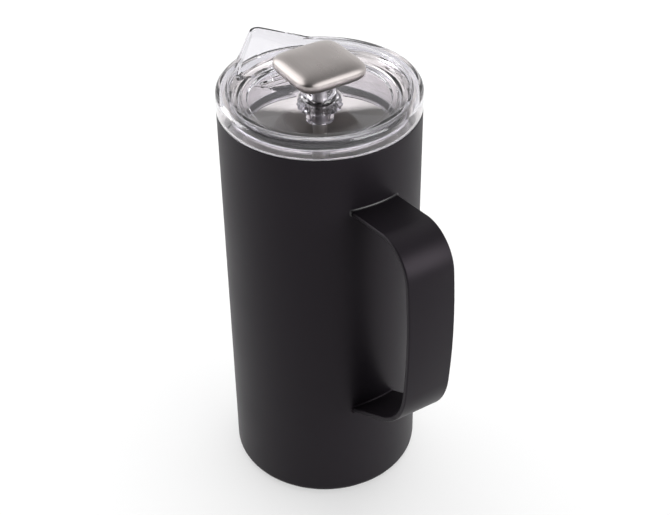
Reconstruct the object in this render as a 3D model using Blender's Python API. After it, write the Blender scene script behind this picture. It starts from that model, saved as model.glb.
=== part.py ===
"""Double-wall steel french press: carafe with a strap handle, clear lid with a spout, and plunger.

Units are metres, +Z is up. The origin is the centre of the flat base, the handle points along +X
and the spout along -X. Every piece is its own object. Lid, seal and plunger hang on empties that
sit on the shared axis, where their slides and turns are.
"""
import math

import bmesh
import bpy
from mathutils import Matrix

# ---------------------------------------------------------------- driving dimensions
MM = 0.001
GAP = 0.3 * MM              # clearance between pieces that touch on the real object

# carafe
BODY_RADIUS = 50 * MM
BODY_HEIGHT = 217 * MM      # base to rim
SHELL_WALL = 0.8 * MM
BASE_CORNER = 5 * MM        # outer radius where the wall rolls under
BASE_LIP = 9 * MM           # how far the shell reaches in under the base
VACUUM_SPACE = 3.4 * MM     # between the shell and the liner
LINER_WALL = 0.8 * MM
LINER_FLOOR = 9 * MM        # inner floor above the table
LINER_CORNER = 8 * MM
RIM_ROLL = 2 * MM           # radius of the flare at the rim
PLATE_WALL = 0.8 * MM       # base plate and base cover
PORT_RADIUS = 1.5 * MM      # evacuation port
BEAD_HEAD_RADIUS = 3 * MM
BEAD_HEAD_HEIGHT = 1 * MM
BEAD_DOME = 0.7             # share of the bead that is full width
GETTER_RADIUS = 4 * MM
GETTER_HEIGHT = 1.5 * MM
GETTER_OFFSET = 20 * MM

# handle: a flat strap bent in side view
STRAP_WIDTH = 26 * MM
STRAP_WALL = 2.6 * MM
STRAP_EDGE = 0.8 * MM       # rounding of the long edges
STRAP_TOP_BELOW_RIM = 29.6 * MM
STRAP_TOP_SLOPE = 6.6       # degrees, rising away from the body
STRAP_TOP_RUN = 23.4 * MM   # straight run from the body to the upper bend
STRAP_UPPER_BEND = 20.5 * MM
STRAP_GRIP_BOW = 315 * MM   # radius of the nearly straight grip
STRAP_GRIP_TURN = 12.4      # degrees that the grip turns through
STRAP_LOWER_BEND = 38.7 * MM
STRAP_BOTTOM_SLOPE = 30     # degrees, falling towards the body
STRAP_OVERRUN = 5 * MM      # both ends run on into the body and are cut back to its wall

# lid, heights are from the rim
RING_HEIGHT = 11.2 * MM
RING_WIDTH = 6 * MM
RING_ROUND = 2.2 * MM       # rounding of the ring's outer top edge
CLEAR_WALL = 2.4 * MM       # wall of the clear moulding
COVE_WIDTH = 8.5 * MM       # from the ring to the flat floor of the well
COVE_STEP = 4.7 * MM        # run of the shallow slope at the floor
COVE_STEP_RISE = 1.2 * MM
COVE_RISE = 5 * MM          # foot of the ring's inner wall above the floor
COVE_LEAN = 1 * MM          # lean of the ring's inner wall
WELL_FLOOR = 4 * MM
SKIRT_DEPTH = 19 * MM       # plug below the rim
SKIRT_CLEARANCE = 2.6 * MM  # between plug and vessel wall
GASKET_HEIGHT = 5 * MM
GASKET_ABOVE_END = 1.6 * MM  # plug that shows below the gasket
GASKET_GROOVE = 0.8 * MM    # depth of the groove in the plug
GASKET_BODY = 0.9 * MM      # gasket beyond the plug, between its lips
GASKET_LIP = 0.9 * MM       # half the height of a lip
BOSS_RADIUS = 7.7 * MM
BOSS_TOP = 14 * MM
BOSS_FLARE = 3.6 * MM       # fillet from the boss to the floor
SPOUT_REACH = 14.2 * MM     # tip beyond the body
SPOUT_HALF_ANGLE = 42.5     # degrees between an edge and the spout's middle
SPOUT_TIP_ROUND = 5 * MM
SPOUT_RISE = 2.4 * MM       # tip above the ring
SPOUT_WALL = 1.8 * MM
SPOUT_UNDER = 3 * MM        # underside at the body, above the rim
SPOUT_UNDER_TIP = 9.4 * MM  # underside at the tip
SPOUT_STEP = 0.05 * MM      # back of the beak below the ring's top
CHUTE_TIP_FLOOR = 11.2 * MM  # chute floor at the tip
CHUTE_STEP = 0.4 * MM       # chute floor above the well's floor
CHUTE_SETBACK = 2 * MM      # back of the chute inside the well's edge
POUR_SLOTS = 4
POUR_SLOT_WIDTH = 2.2 * MM
POUR_SLOT_PITCH = 3.5 * MM
POUR_HALF_ANGLE = 36        # degrees that the slots reach to each side
POUR_FIRST = 0.3            # first slot from the edge, in pitches
POUR_RECESS = 1.2 * MM      # depth of the lens-shaped recess that the slots are in
POUR_RECESS_BULGE = 28.8 * MM  # radius of its inner edge
POUR_RECESS_REACH = 16.5 * MM  # its inner edge in front of the well's edge
POUR_RECESS_MARGIN = 1.2 * MM  # its outer edge inside the well's edge
CUT_OVER = 20 * MM          # cutters run on past what they cut

# rod seal
ROD_RADIUS = 3.75 * MM
ROD_BEVEL = 1.1 * MM
SEAL_SECTION = 1.0 * MM     # half the O-ring's thickness
RETAINER_FLANGE = 11.3 * MM  # radius over the teeth of the retainer's flange
RETAINER_TOOTH = 1.1 * MM   # depth of the teeth
RETAINER_TOP = 8.6 * MM     # radius of the retainer's top face
RETAINER_BEVEL = 2 * MM     # height of the bevel above the teeth
RETAINER_RIM = 0.6 * MM     # height of the teeth at their tips
RETAINER_FLARE = 6 * MM     # where the flare below the teeth ends on the sleeve
SLEEVE_RADIUS = 7.1 * MM
SLEEVE_DEPTH = 10.9 * MM    # end of the retainer's sleeve below the rim

# knob
KNOB_HALF = 18.4 * MM       # half the width across its flats
KNOB_SQUARENESS = 4.6       # exponent of the rounded square
KNOB_WALL = 1.0 * MM
KNOB_THICKNESS = 8.6 * MM
# crown and side of the knob: share of its half width, share of its thickness below the top
KNOB_PROFILE = [(0, 0), (0.5, 0.03), (0.76, 0.09), (0.90, 0.19), (0.975, 0.33),
                (1, 0.46), (0.985, 0.66), (0.93, 0.88), (0.85, 1)]
KNOB_NECK = 3.2 * MM        # neck that the knob rests on the boss with
KNOB_NECK_RADIUS = 6.2 * MM
KNOB_NUT_RADIUS = 6.5 * MM
KNOB_NUT_HEIGHT = 4 * MM

# filter stack, from the bottom up
FILTER_ABOVE_FLOOR = 3 * MM
FILTER_CLEARANCE = 0.5 * MM  # between the filter's edge and the vessel wall
NUT_RADIUS = 6 * MM
NUT_HEIGHT = 4 * MM
NUT_FLOOR = 1 * MM          # closed end of the nut, under the rod
CROSS_INSET = 5.5 * MM      # cross plate inside the screen's edge
CROSS_RIM = 4 * MM
CROSS_HUB = 2 * MM          # hub beyond the nut
CROSS_ARM = 7 * MM          # width of an arm
CROSS_WALL = 0.9 * MM
SCREEN_WALL = 0.6 * MM
SCREEN_FOLD = 1.5 * MM      # height of the folded edge
SCREEN_FOLD_WIDTH = 2.2 * MM
SPRING_SECTION = 2.0 * MM   # half the coil's outer diameter
PLATE_RISE = 1.8 * MM       # the spiral plate's dome
PLATE_THICKNESS = 0.8 * MM
PLATE_RIM = 8 * MM          # flat rim
PLATE_SEAT = 2 * MM         # flat seat beyond the collar
PLATE_HOLES = 12
PLATE_HOLE_RADIUS = 2.5 * MM
PLATE_HOLE_CIRCLE = 24 * MM
COLLAR_RADIUS = 6.5 * MM
COLLAR_HEIGHT = 7 * MM
COLLAR_CHAMFER = 1.5 * MM

# roundness
BODY_SEGMENTS = 48
KNOB_SEGMENTS = 48
SMALL_SEGMENTS = 32
DRILL_SEGMENTS = 12
FINE = 4                    # points on a fillet
ROUND_SECTION = 8           # points on a ring of round section
SHARP_ANGLE = 35            # degrees, edges above this stay sharp

# ---------------------------------------------------------------- derived sizes
RIM = BODY_HEIGHT
LINER_RADIUS = BODY_RADIUS - SHELL_WALL - VACUUM_SPACE - LINER_WALL
LINER_UNDERSIDE = LINER_FLOOR - LINER_WALL
PLATE_Z = SHELL_WALL + GAP
COVER_RADIUS = BODY_RADIUS - BASE_LIP - GAP
RING_INNER = BODY_RADIUS - RING_WIDTH
WELL_RADIUS = RING_INNER - COVE_WIDTH
RING_TOP = RIM + RING_HEIGHT
LID_SEAT = RIM + GAP
FLOOR_TOP = RIM + WELL_FLOOR
FLOOR_UNDER = FLOOR_TOP - CLEAR_WALL
SKIRT_OUTER = LINER_RADIUS - SKIRT_CLEARANCE
SKIRT_INNER = SKIRT_OUTER - CLEAR_WALL
SKIRT_END = RIM - SKIRT_DEPTH
GASKET_LOW = SKIRT_END + GASKET_ABOVE_END
GASKET_HIGH = GASKET_LOW + GASKET_HEIGHT
GASKET_OUTER = LINER_RADIUS - GAP
GASKET_INNER = SKIRT_OUTER - GASKET_GROOVE + GAP
BORE = ROD_RADIUS + GAP
SEAL_OUTER = BORE + 2 * SEAL_SECTION
SEAL_POCKET = SEAL_OUTER + GAP
BOSS_TOP_Z = RIM + BOSS_TOP
SEAL_Z = FLOOR_UNDER + SEAL_SECTION
NECK_BOTTOM = BOSS_TOP_Z + GAP
KNOB_BOTTOM = NECK_BOTTOM + KNOB_NECK
KNOB_TOP = KNOB_BOTTOM + KNOB_THICKNESS
KNOB_NUT_LOW = KNOB_BOTTOM + KNOB_WALL + GAP
NUT_BOTTOM = LINER_FLOOR + FILTER_ABOVE_FLOOR
CROSS_Z = NUT_BOTTOM + NUT_HEIGHT + GAP
SCREEN_Z = CROSS_Z + CROSS_WALL + GAP
FILTER_RADIUS = LINER_RADIUS - FILTER_CLEARANCE
CROSS_RADIUS = FILTER_RADIUS - CROSS_INSET
SPRING_MIDDLE = FILTER_RADIUS - SPRING_SECTION
SPRING_Z = SCREEN_Z + SCREEN_FOLD + GAP + SPRING_SECTION
PLATE_RADIUS = SPRING_MIDDLE - SPRING_SECTION - GAP
PLATE_LOW = SPRING_Z - PLATE_THICKNESS
COLLAR_LOW = PLATE_LOW + PLATE_RISE + PLATE_THICKNESS + GAP
COLLAR_TOP = COLLAR_LOW + COLLAR_HEIGHT
SPOUT_TIP = -(BODY_RADIUS + SPOUT_REACH)


# ---------------------------------------------------------------- helpers
def clear_scene():
    for obj in list(bpy.data.objects):
        bpy.data.objects.remove(obj, do_unlink=True)


def finish_material(name, color, roughness, metallic=0.0, transmission=0.0):
    mat = bpy.data.materials.new(name)
    mat.use_nodes = True
    shader = mat.node_tree.nodes["Principled BSDF"]
    shader.inputs["Base Color"].default_value = (*color, 1.0)
    shader.inputs["Roughness"].default_value = roughness
    shader.inputs["Metallic"].default_value = metallic
    shader.inputs["Transmission Weight"].default_value = transmission
    mat.diffuse_color = (*color, 1.0)
    return mat


def object_from(bm, name, mat, parent=None):
    """Turn a bmesh into a smooth-shaded object, hung on an empty if one is given."""
    bmesh.ops.recalc_face_normals(bm, faces=bm.faces)
    mesh = bpy.data.meshes.new(name)
    bm.to_mesh(mesh)
    bm.free()
    mesh.shade_smooth()
    mesh.set_sharp_from_angle(angle=math.radians(SHARP_ANGLE))
    obj = bpy.data.objects.new(name, mesh)
    obj.data.materials.append(mat)
    bpy.context.collection.objects.link(obj)
    if parent is not None:
        obj.parent = parent
        obj.matrix_parent_inverse = parent.matrix_world.inverted()
    return obj


def axis_empty(name, height, parent=None):
    """An empty on the shared axis: where a body slides or turns."""
    empty = bpy.data.objects.new(name, None)
    bpy.context.collection.objects.link(empty)
    empty.empty_display_size = 0.02
    empty.location = (0, 0, height)
    bpy.context.view_layer.update()
    if parent is not None:
        empty.parent = parent
        empty.matrix_parent_inverse = parent.matrix_world.inverted()
        bpy.context.view_layer.update()
    return empty


def arc(r_mid, z_mid, radius, start, end, points=FINE):
    """Points on a fillet in the turning plane, angles in degrees from +r towards +z."""
    steps = [start + (end - start) * i / (points - 1) for i in range(points)]
    return [(r_mid + radius * math.cos(math.radians(a)), z_mid + radius * math.sin(math.radians(a)))
            for a in steps]


def turned(profile, segments):
    """Spin a closed outline of (radius, height) points about the axis."""
    bm = bmesh.new()
    verts = [bm.verts.new((r, 0, z)) for r, z in profile]
    edges = [bm.edges.new((a, b)) for a, b in zip(verts, verts[1:])]
    if profile[0][0] > 0 or profile[-1][0] > 0:
        edges.append(bm.edges.new((verts[-1], verts[0])))
    bmesh.ops.spin(bm, geom=verts + edges, cent=(0, 0, 0), axis=(0, 0, 1),
                   angle=math.tau, steps=segments, use_merge=True)
    bmesh.ops.remove_doubles(bm, verts=bm.verts, dist=1e-7)
    return bm


def prism(outline, low, high):
    """Extrude a plan outline of (x, y) points from one height to another."""
    bm = bmesh.new()
    base = bm.faces.new([bm.verts.new((x, y, low)) for x, y in outline])
    top = bmesh.ops.extrude_face_region(bm, geom=[base])
    rise = [v for v in top["geom"] if isinstance(v, bmesh.types.BMVert)]
    bmesh.ops.translate(bm, vec=(0, 0, high - low), verts=rise)
    return bm


def cutter(bm, name):
    bmesh.ops.recalc_face_normals(bm, faces=bm.faces)
    mesh = bpy.data.meshes.new(name)
    bm.to_mesh(mesh)
    bm.free()
    obj = bpy.data.objects.new(name, mesh)
    bpy.context.collection.objects.link(obj)
    obj.hide_render = True
    obj.display_type = "WIRE"
    return obj


def boolean(target, tool, operation):
    mod = target.modifiers.new(operation.lower(), "BOOLEAN")
    mod.operation = operation
    mod.solver = "EXACT"
    mod.object = tool
    return mod


# ---------------------------------------------------------------- carafe
def make_outer_shell(mat):
    inner = BODY_RADIUS - SHELL_WALL
    mid_r = BODY_RADIUS - BASE_CORNER
    lip = BODY_RADIUS - BASE_LIP
    outline = [(BODY_RADIUS, RIM)]
    outline += arc(mid_r, BASE_CORNER, BASE_CORNER, 0, -90)
    outline += [(lip, 0), (lip, SHELL_WALL)]
    outline += arc(mid_r, BASE_CORNER, BASE_CORNER - SHELL_WALL, -90, 0)
    outline += [(inner, RIM)]
    return object_from(turned(outline, BODY_SEGMENTS), "outer_shell", mat)


def make_inner_liner(mat):
    edge = BODY_RADIUS - SHELL_WALL - GAP
    roll_r = LINER_RADIUS + RIM_ROLL
    roll_z = RIM - RIM_ROLL
    corner_r = LINER_RADIUS - LINER_CORNER
    corner_z = LINER_FLOOR + LINER_CORNER
    outline = [(0, LINER_FLOOR)]
    outline += arc(corner_r, corner_z, LINER_CORNER, -90, 0)
    outline += arc(roll_r, roll_z, RIM_ROLL, 180, 90)
    outline += [(edge, RIM), (edge, RIM - LINER_WALL)]
    outline += arc(roll_r, roll_z, RIM_ROLL - LINER_WALL, 90, 180)
    outline += arc(corner_r, corner_z, LINER_CORNER + LINER_WALL, 0, -90)
    outline += [(0, LINER_UNDERSIDE)]
    return object_from(turned(outline, BODY_SEGMENTS), "inner_liner", mat)


def make_base(steel, coat):
    plate_r = BODY_RADIUS - BASE_CORNER - GAP
    top = PLATE_Z + PLATE_WALL
    plate = [(PORT_RADIUS, PLATE_Z), (plate_r, PLATE_Z), (plate_r, top), (PORT_RADIUS, top)]
    object_from(turned(plate, BODY_SEGMENTS), "base_plate", steel)

    stem = PORT_RADIUS - GAP
    head = top + GAP
    bead = [(0, PLATE_Z), (stem, PLATE_Z), (stem, head), (BEAD_HEAD_RADIUS, head)]
    bead += [(BEAD_HEAD_RADIUS * BEAD_DOME, head + BEAD_HEAD_HEIGHT * BEAD_DOME),
             (0, head + BEAD_HEAD_HEIGHT)]
    object_from(turned(bead, SMALL_SEGMENTS // 2), "seal_bead", steel)

    pill = [(0, head), (GETTER_RADIUS, head), (GETTER_RADIUS, head + GETTER_HEIGHT),
            (0, head + GETTER_HEIGHT)]
    getter = object_from(turned(pill, SMALL_SEGMENTS // 2), "getter_pill", steel)
    getter.location = (GETTER_OFFSET, 0, 0)

    cover = [(0, 0), (COVER_RADIUS, 0), (COVER_RADIUS, PLATE_WALL), (0, PLATE_WALL)]
    object_from(turned(cover, BODY_SEGMENTS), "base_cover", coat)


def strap_path(inset):
    """Side view of the strap at a distance inside its outer face, as (x, z) points."""
    heading = math.radians(STRAP_TOP_SLOPE)
    start_r = BODY_RADIUS - STRAP_OVERRUN
    run = STRAP_TOP_RUN + STRAP_OVERRUN
    x = start_r + inset * math.sin(heading)
    z = RIM - STRAP_TOP_BELOW_RIM - inset * math.cos(heading)
    points = [(x, z)]
    x += run * math.cos(heading)
    z += run * math.sin(heading)
    grip_start = -90 + STRAP_GRIP_TURN / 2
    grip_end = -90 - STRAP_GRIP_TURN / 2
    bends = [(STRAP_UPPER_BEND, grip_start, 9), (STRAP_GRIP_BOW, grip_end, 4),
             (STRAP_LOWER_BEND, STRAP_BOTTOM_SLOPE - 180, 8)]
    for radius, target, steps in bends:
        radius -= inset
        mid_x = x + radius * math.sin(heading)
        mid_z = z - radius * math.cos(heading)
        end = math.radians(target)
        for i in range(steps + 1):
            a = heading + (end - heading) * i / steps
            points.append((mid_x - radius * math.sin(a), mid_z + radius * math.cos(a)))
        x, z = points[-1]
        heading = end
    reach = (x - start_r) / -math.cos(heading)
    points.append((start_r, z + reach * math.sin(heading)))
    return points


def make_handle(mat):
    outline = strap_path(0) + strap_path(STRAP_WALL)[::-1]
    bm = bmesh.new()
    side = bm.faces.new([bm.verts.new((x, -STRAP_WIDTH / 2, z)) for x, z in outline])
    other = bmesh.ops.extrude_face_region(bm, geom=[side])
    verts = [v for v in other["geom"] if isinstance(v, bmesh.types.BMVert)]
    bmesh.ops.translate(bm, vec=(0, STRAP_WIDTH, 0), verts=verts)
    strap = object_from(bm, "handle_strap", mat)
    bevel = strap.modifiers.new("rounded_edges", "BEVEL")
    bevel.width = STRAP_EDGE
    bevel.segments = 2
    bevel.limit_method = "ANGLE"
    bevel.angle_limit = math.radians(60)
    seat = BODY_RADIUS + GAP
    body = cutter(turned([(0, 0), (seat, 0), (seat, RIM), (0, RIM)], BODY_SEGMENTS * 2),
                  "cut_body_from_strap")
    boolean(strap, body, "DIFFERENCE")
    return strap


# ---------------------------------------------------------------- lid
def spout_outline(inset, back):
    """Plan of the beak: straight edges to a rounded tip, moved in by a wall."""
    half = math.radians(SPOUT_HALF_ANGLE)
    round_x = SPOUT_TIP + SPOUT_TIP_ROUND
    radius = SPOUT_TIP_ROUND - inset
    sweep = math.pi / 2 - half
    points = []
    for i in range(FINE + 2):
        a = math.pi - sweep + 2 * sweep * i / (FINE + 1)
        points.append((round_x + radius * math.cos(a), radius * math.sin(a)))
    x, y = points[-1]
    run = (back - x) / math.cos(half)
    points.append((back, y - run * math.sin(half)))
    points.append((back, -points[-1][1]))
    return points


def slanted(outline, low_back, low_tip, high_back, high_tip, back):
    """A prism whose underside and top slope from its back to the spout's tip."""
    bm = prism(outline, 0.0, 1.0)
    for v in bm.verts:
        t = (v.co.x - back) / (SPOUT_TIP - back)
        low = low_back + (low_tip - low_back) * t
        high = high_back + (high_tip - high_back) * t
        v.co.z = high if v.co.z > 0.5 else low
    return bm


def lid_outline():
    """Half section of the clear moulding, spun about the axis."""
    skin = BODY_RADIUS - CLEAR_WALL
    web = RING_TOP - CLEAR_WALL
    inner_skin = RING_INNER + CLEAR_WALL - 2 * COVE_LEAN
    groove = SKIRT_OUTER - GASKET_GROOVE
    flare_r = BOSS_RADIUS + BOSS_FLARE
    pts = [(BORE, BOSS_TOP_Z), (BOSS_RADIUS, BOSS_TOP_Z)]
    pts += arc(flare_r, FLOOR_TOP + BOSS_FLARE, BOSS_FLARE, 180, 270)
    pts += [(WELL_RADIUS, FLOOR_TOP)]
    pts += [(WELL_RADIUS + COVE_STEP, FLOOR_TOP + COVE_STEP_RISE)]
    pts += [(RING_INNER - COVE_LEAN, FLOOR_TOP + COVE_RISE), (RING_INNER, RING_TOP)]
    pts += arc(BODY_RADIUS - RING_ROUND, RING_TOP - RING_ROUND, RING_ROUND, 90, 0)
    pts += [(BODY_RADIUS, LID_SEAT), (skin, LID_SEAT), (skin, web), (inner_skin, web)]
    pts += [(inner_skin, LID_SEAT + CLEAR_WALL / 2), (SKIRT_OUTER, LID_SEAT)]
    pts += [(SKIRT_OUTER, GASKET_HIGH + GAP), (groove, GASKET_HIGH + GAP)]
    pts += [(groove, GASKET_LOW - GAP), (SKIRT_OUTER, GASKET_LOW - GAP)]
    pts += [(SKIRT_OUTER, SKIRT_END), (SKIRT_INNER, SKIRT_END), (SKIRT_INNER, FLOOR_UNDER)]
    pocket_top = SEAL_Z + SEAL_SECTION + GAP
    pts += [(SEAL_POCKET, FLOOR_UNDER), (SEAL_POCKET, pocket_top), (BORE, pocket_top)]
    return pts


def slot_outline(x_mid, half_length):
    """Plan of a pour slot with round ends, across the pouring direction."""
    radius = POUR_SLOT_WIDTH / 2
    points = []
    for side in (1, -1):
        for i in range(FINE):
            a = side * math.pi / 2 - math.pi / 2 + math.pi * i / (FINE - 1)
            y = side * (half_length - radius) + radius * math.sin(a)
            points.append((x_mid + radius * math.cos(a), y))
    return points


def recess_outline():
    """Plan of the pour recess: a lens between the well's edge and an arc that bulges inward."""
    outer = WELL_RADIUS - POUR_RECESS_MARGIN
    near = outer - POUR_RECESS_REACH
    middle = near + POUR_RECESS_BULGE
    cross = (outer ** 2 + middle ** 2 - POUR_RECESS_BULGE ** 2) / (2 * middle)
    half = math.acos(cross / outer)
    lean = math.asin(outer * math.sin(half) / POUR_RECESS_BULGE)
    steps = 3 * FINE
    points = []
    for i in range(steps + 1):
        a = half - 2 * half * i / steps
        points.append((-outer * math.cos(a), outer * math.sin(a)))
    for i in range(1, steps):
        a = -lean + 2 * lean * i / steps
        points.append((POUR_RECESS_BULGE * math.cos(a) - middle, POUR_RECESS_BULGE * math.sin(a)))
    return points


def make_lid(mat, parent):
    lid = object_from(turned(lid_outline(), BODY_SEGMENTS), "lid_cover", mat, parent)
    back = -(WELL_RADIUS + RING_INNER) / 2
    beak = slanted(spout_outline(0, back), RIM + SPOUT_UNDER, RIM + SPOUT_UNDER_TIP,
                   RING_TOP - SPOUT_STEP, RING_TOP + SPOUT_RISE, back)
    boolean(lid, cutter(beak, "join_beak"), "UNION")
    chute_back = -(WELL_RADIUS - CHUTE_SETBACK)
    over = RING_TOP + CUT_OVER
    chute = slanted(spout_outline(SPOUT_WALL, chute_back), FLOOR_TOP + CHUTE_STEP,
                    RIM + CHUTE_TIP_FLOOR, over, over, chute_back)
    boolean(lid, cutter(chute, "cut_chute"), "DIFFERENCE")
    recess = prism(recess_outline(), FLOOR_TOP - POUR_RECESS, over)
    boolean(lid, cutter(recess, "cut_pour_recess"), "DIFFERENCE")
    reach = math.tan(math.radians(POUR_HALF_ANGLE))
    limit = WELL_RADIUS - POUR_SLOT_WIDTH
    for i in range(POUR_SLOTS):
        x_mid = limit - POUR_SLOT_PITCH * (i + POUR_FIRST)
        half = min(x_mid * reach, math.sqrt(limit ** 2 - x_mid ** 2))
        slot = prism(slot_outline(-x_mid, half), FLOOR_UNDER - MM, over)
        boolean(lid, cutter(slot, f"cut_pour_slot_{i + 1}"), "DIFFERENCE")
    return lid


def make_gasket(mat, parent):
    mid = (GASKET_LOW + GASKET_HIGH) / 2
    body = SKIRT_OUTER + GASKET_BODY
    lip = GASKET_LIP
    outline = [(GASKET_INNER, GASKET_HIGH), (body, GASKET_HIGH), (GASKET_OUTER, GASKET_HIGH - lip),
               (body, GASKET_HIGH - 2 * lip), (body, mid),
               (GASKET_OUTER, mid - lip / 2), (body, GASKET_LOW + lip), (body, GASKET_LOW),
               (GASKET_INNER, GASKET_LOW)]
    return object_from(turned(outline, BODY_SEGMENTS), "lid_gasket", mat, parent)


def make_rod_seal(mat, parent):
    middle = BORE + SEAL_SECTION
    ring = arc(middle, SEAL_Z, SEAL_SECTION, 0, -315, ROUND_SECTION)
    return object_from(turned(ring, SMALL_SEGMENTS), "rod_seal", mat, parent)


def make_retainer(mat, parent):
    """Sleeve under the boss with a flared flange; its teeth are a grip for pushing it in."""
    top = FLOOR_UNDER - GAP
    end = RIM - SLEEVE_DEPTH
    tip = top - RETAINER_BEVEL
    outline = [(BORE, top), (RETAINER_TOP, top), (RETAINER_FLANGE, tip),
               (RETAINER_FLANGE, tip - RETAINER_RIM), (SLEEVE_RADIUS, top - RETAINER_FLARE),
               (SLEEVE_RADIUS, end), (BORE, end)]
    bm = turned(outline, SMALL_SEGMENTS)
    root = RETAINER_FLANGE - RETAINER_TOOTH
    for v in bm.verts:
        radius = math.hypot(v.co.x, v.co.y)
        step = round(math.atan2(v.co.y, v.co.x) / math.tau * SMALL_SEGMENTS)
        if radius > root and step % 2:
            v.co.x *= root / radius
            v.co.y *= root / radius
    return object_from(bm, "seal_retainer", mat, parent)


# ---------------------------------------------------------------- knob and rod
def rounded_square():
    """Plan of the knob at unit half width: a square with fully rounded corners."""
    points = []
    for i in range(KNOB_SEGMENTS):
        a = math.tau * i / KNOB_SEGMENTS
        c, s = math.cos(a), math.sin(a)
        reach = (abs(c) ** KNOB_SQUARENESS + abs(s) ** KNOB_SQUARENESS) ** (-1 / KNOB_SQUARENESS)
        points.append((reach * c, reach * s))
    return points


def lofted(rings):
    """Skin a stack of (scale, height) copies of the knob's plan; a scale of 0 is a centre point."""
    bm = bmesh.new()
    plan = rounded_square()
    count = len(plan)
    loops = []
    for scale, z in rings:
        if scale == 0:
            loops.append([bm.verts.new((0, 0, z))])
        else:
            loops.append([bm.verts.new((scale * x, scale * y, z)) for x, y in plan])
    for lower, upper in zip(loops, loops[1:]):
        for i in range(count):
            j = (i + 1) % count
            corners = [lower[i % len(lower)], lower[j % len(lower)],
                       upper[j % len(upper)], upper[i % len(upper)]]
            bm.faces.new(list(dict.fromkeys(corners)))
    return bm


def knob_skin(inset):
    """Rings of the knob from the crown's middle out and down, moved in by a wall."""
    half = KNOB_HALF - inset
    top = KNOB_TOP - inset
    tall = KNOB_THICKNESS - inset - (GAP if inset else 0)
    return [(half * share, top - tall * drop) for share, drop in KNOB_PROFILE]


def make_knob(steel, brass, parent):
    inner = knob_skin(KNOB_WALL)[::-1]
    mouth = inner[0][0]
    shell = lofted(knob_skin(0) + [(mouth, KNOB_BOTTOM)] + inner[1:])
    object_from(shell, "knob_shell", steel, parent)

    disc_top = KNOB_BOTTOM + KNOB_WALL
    disc_half = mouth - GAP
    disc = lofted([(0, disc_top), (disc_half, disc_top), (disc_half, KNOB_BOTTOM),
                   (0, KNOB_BOTTOM)])
    base = object_from(disc, "knob_base", steel, parent)
    middle = KNOB_BOTTOM + KNOB_WALL / 2
    neck = turned([(0, NECK_BOTTOM), (KNOB_NECK_RADIUS, NECK_BOTTOM),
                   (KNOB_NECK_RADIUS, middle), (0, middle)], SMALL_SEGMENTS)
    boolean(base, cutter(neck, "join_neck"), "UNION")
    hole = cutter(turned([(0, NECK_BOTTOM - MM), (BORE, NECK_BOTTOM - MM), (BORE, disc_top + MM),
                          (0, disc_top + MM)], SMALL_SEGMENTS), "cut_rod_hole")
    boolean(base, hole, "DIFFERENCE")

    nut_top = KNOB_NUT_LOW + KNOB_NUT_HEIGHT
    nut = [(BORE, KNOB_NUT_LOW), (KNOB_NUT_RADIUS, KNOB_NUT_LOW), (KNOB_NUT_RADIUS, nut_top),
           (BORE, nut_top)]
    object_from(turned(nut, SMALL_SEGMENTS), "knob_nut", brass, parent)


def make_rod(steel, parent):
    top = KNOB_NUT_LOW + KNOB_NUT_HEIGHT
    low = NUT_BOTTOM + NUT_FLOOR
    rod = [(0, low), (ROD_RADIUS, low), (ROD_RADIUS, top - ROD_BEVEL),
           (ROD_RADIUS - ROD_BEVEL, top), (0, top)]
    return object_from(turned(rod, SMALL_SEGMENTS), "plunger_rod", steel, parent)


# ---------------------------------------------------------------- filter stack
def make_collar(steel, parent):
    collar = [(BORE, COLLAR_LOW), (COLLAR_RADIUS, COLLAR_LOW),
              (COLLAR_RADIUS, COLLAR_TOP - COLLAR_CHAMFER),
              (COLLAR_RADIUS - COLLAR_CHAMFER, COLLAR_TOP), (BORE, COLLAR_TOP)]
    object_from(turned(collar, SMALL_SEGMENTS), "rod_collar", steel, parent)


def make_spiral_plate(steel, parent):
    flat = COLLAR_RADIUS + PLATE_SEAT
    low, thick, rise = PLATE_LOW, PLATE_THICKNESS, PLATE_RISE
    shoulder = PLATE_RADIUS - PLATE_RIM
    section = [(BORE, low + rise), (flat, low + rise), (shoulder, low), (PLATE_RADIUS, low),
               (PLATE_RADIUS, low + thick), (shoulder, low + thick), (flat, low + rise + thick),
               (BORE, low + rise + thick)]
    plate = object_from(turned(section, BODY_SEGMENTS // 4 * 3), "spiral_plate", steel, parent)
    drills = bmesh.new()
    for i in range(PLATE_HOLES):
        a = math.tau * (i + 0.5) / PLATE_HOLES
        spot = Matrix.Translation((PLATE_HOLE_CIRCLE * math.cos(a), PLATE_HOLE_CIRCLE * math.sin(a),
                                   low + rise / 2))
        bmesh.ops.create_cone(drills, cap_ends=True, segments=DRILL_SEGMENTS, radius1=PLATE_HOLE_RADIUS,
                              radius2=PLATE_HOLE_RADIUS, depth=CUT_OVER, matrix=spot)
    boolean(plate, cutter(drills, "cut_plate_holes"), "DIFFERENCE")


def make_spring(steel, parent):
    coil = arc(SPRING_MIDDLE, SPRING_Z, SPRING_SECTION, 0, -315, ROUND_SECTION)
    object_from(turned(coil, BODY_SEGMENTS), "spiral_spring", steel, parent)


def make_screen(steel, parent):
    low = SCREEN_Z
    fold = FILTER_RADIUS - SCREEN_FOLD_WIDTH
    top = low + SCREEN_WALL
    section = [(BORE, low), (FILTER_RADIUS, low), (FILTER_RADIUS, low + SCREEN_FOLD),
               (fold, low + SCREEN_FOLD), (fold, top), (BORE, top)]
    object_from(turned(section, BODY_SEGMENTS), "mesh_screen", steel, parent)


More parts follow.
